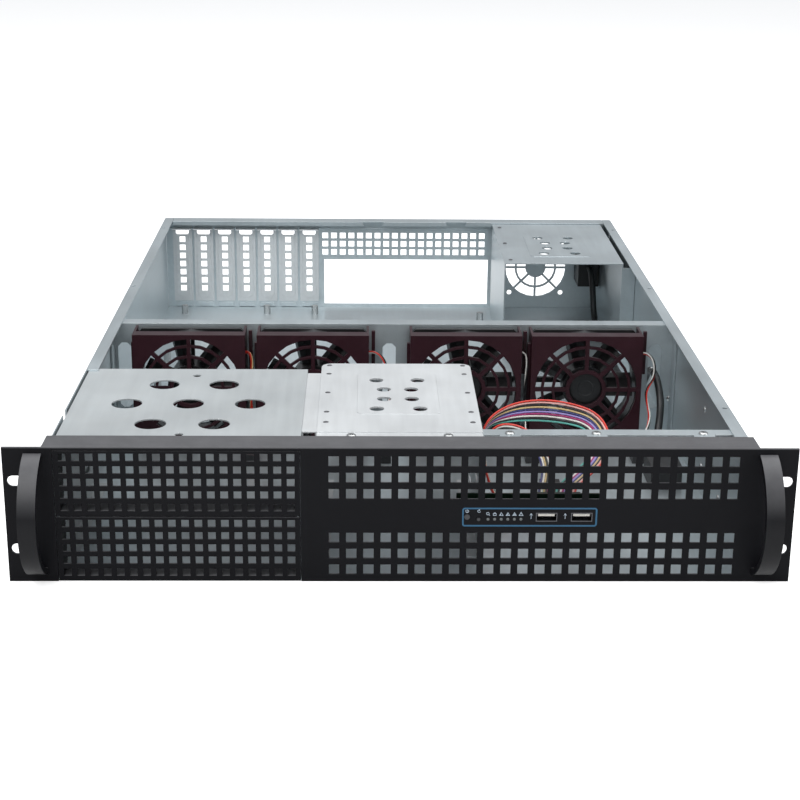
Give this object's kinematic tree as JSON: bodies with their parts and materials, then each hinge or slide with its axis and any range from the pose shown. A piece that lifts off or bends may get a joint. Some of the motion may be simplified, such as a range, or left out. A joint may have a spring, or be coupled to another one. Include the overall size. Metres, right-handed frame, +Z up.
{
  "type": "rackmount server case",
  "caption": "Empty rackmount server case, lid off: perforated black front with bow handles, drive cages, clip-in cooling fans on a cross wall and a rear panel with slot covers.",
  "frame": {"origin": "under the middle of the case, on the surface it stands on", "axes": "+X to the right seen from the front, +Y from front to rear, +Z up; the front panel faces -Y"},
  "size_m": [0.4826, 0.671, 0.088],
  "materials": {
    "zinc_steel": "satin zinc-plated sheet",
    "black_coat": "fine-texture powder coat",
    "maroon_plastic": "satin",
    "fan_plastic": "satin",
    "button_plastic": "satin",
    "plated_steel": "nickel plate",
    "board_laminate": "solder mask",
    "lamp_lens": "clear lens",
    "inlet_plastic": "satin moulded",
    "cord_jacket": "soft jacket",
    "wire_insulation": "coloured wires",
    "plug_nylon": "nylon"
  },
  "bodies": {
    "case": {"chassis_tray": "zinc_steel", "bay_cage": "zinc_steel", "drive_cage": "zinc_steel", "rear_cage": "zinc_steel", "cage_strip": "zinc_steel", "crossbar": "zinc_steel", "fan_wall": "zinc_steel", "rear_panel": "zinc_steel", "slot_cover_1": "zinc_steel", "slot_cover_2": "zinc_steel", "slot_cover_3": "zinc_steel", "slot_cover_4": "zinc_steel", "slot_cover_5": "zinc_steel", "slot_cover_6": "zinc_steel", "slot_cover_7": "zinc_steel", "front_panel": "black_coat", "handle_left": "black_coat", "handle_right": "black_coat", "bay_cover_upper": "black_coat", "bay_cover_lower": "black_coat", "fan_bracket_1": "maroon_plastic", "fan_bracket_2": "maroon_plastic", "fan_bracket_3": "maroon_plastic", "fan_bracket_4": "maroon_plastic", "fan_frame_1": "fan_plastic", "fan_frame_2": "fan_plastic", "fan_frame_3": "fan_plastic", "fan_frame_4": "fan_plastic", "usb_socket_1": "plated_steel", "usb_socket_2": "plated_steel", "control_board": "board_laminate", "indicator_lamps": "lamp_lens", "board_standoffs": "plated_steel", "top_screws": "plated_steel", "ac_inlet": "inlet_plastic", "inlet_lead": "cord_jacket", "inlet_plug": "inlet_plastic", "ribbon_upper": "wire_insulation", "ribbon_lower": "wire_insulation", "fan_lead_1": "wire_insulation", "fan_lead_2": "wire_insulation", "fan_lead_3": "wire_insulation", "fan_lead_4": "wire_insulation", "ribbon_plug_upper": "plug_nylon", "ribbon_plug_lower": "plug_nylon", "fan_plug_1": "plug_nylon", "fan_plug_2": "plug_nylon", "fan_plug_3": "plug_nylon", "fan_plug_4": "plug_nylon"},
    "rotor_1": {"fan_rotor_1": "fan_plastic"},
    "rotor_2": {"fan_rotor_2": "fan_plastic"},
    "rotor_3": {"fan_rotor_3": "fan_plastic"},
    "rotor_4": {"fan_rotor_4": "fan_plastic"},
    "power_key": {"power_button": "button_plastic"},
    "reset_key": {"reset_button": "button_plastic"}
  },
  "joints": [
    {"name": "fan_1_spin", "type": "hinge", "parent": "case", "child": "rotor_1", "pos_m": [-0.1534, -0.045, 0.0446], "axis": [0, 1, 0], "continuous": true},
    {"name": "fan_2_spin", "type": "hinge", "parent": "case", "child": "rotor_2", "pos_m": [-0.0612, -0.045, 0.0446], "axis": [0, 1, 0], "continuous": true},
    {"name": "fan_3_spin", "type": "hinge", "parent": "case", "child": "rotor_3", "pos_m": [0.053, -0.045, 0.0446], "axis": [0, 1, 0], "continuous": true},
    {"name": "fan_4_spin", "type": "hinge", "parent": "case", "child": "rotor_4", "pos_m": [0.1436, -0.045, 0.0446], "axis": [0, 1, 0], "continuous": true},
    {"name": "power_press", "type": "slide", "parent": "case", "child": "power_key", "axis": [0, 1, 0], "range_m": [0, 0.0011], "stiffness_N_per_m": 300, "springref_m": -0.001},
    {"name": "reset_press", "type": "slide", "parent": "case", "child": "reset_key", "axis": [0, 1, 0], "range_m": [0, 0.0011], "stiffness_N_per_m": 300, "springref_m": -0.001}
  ]
}
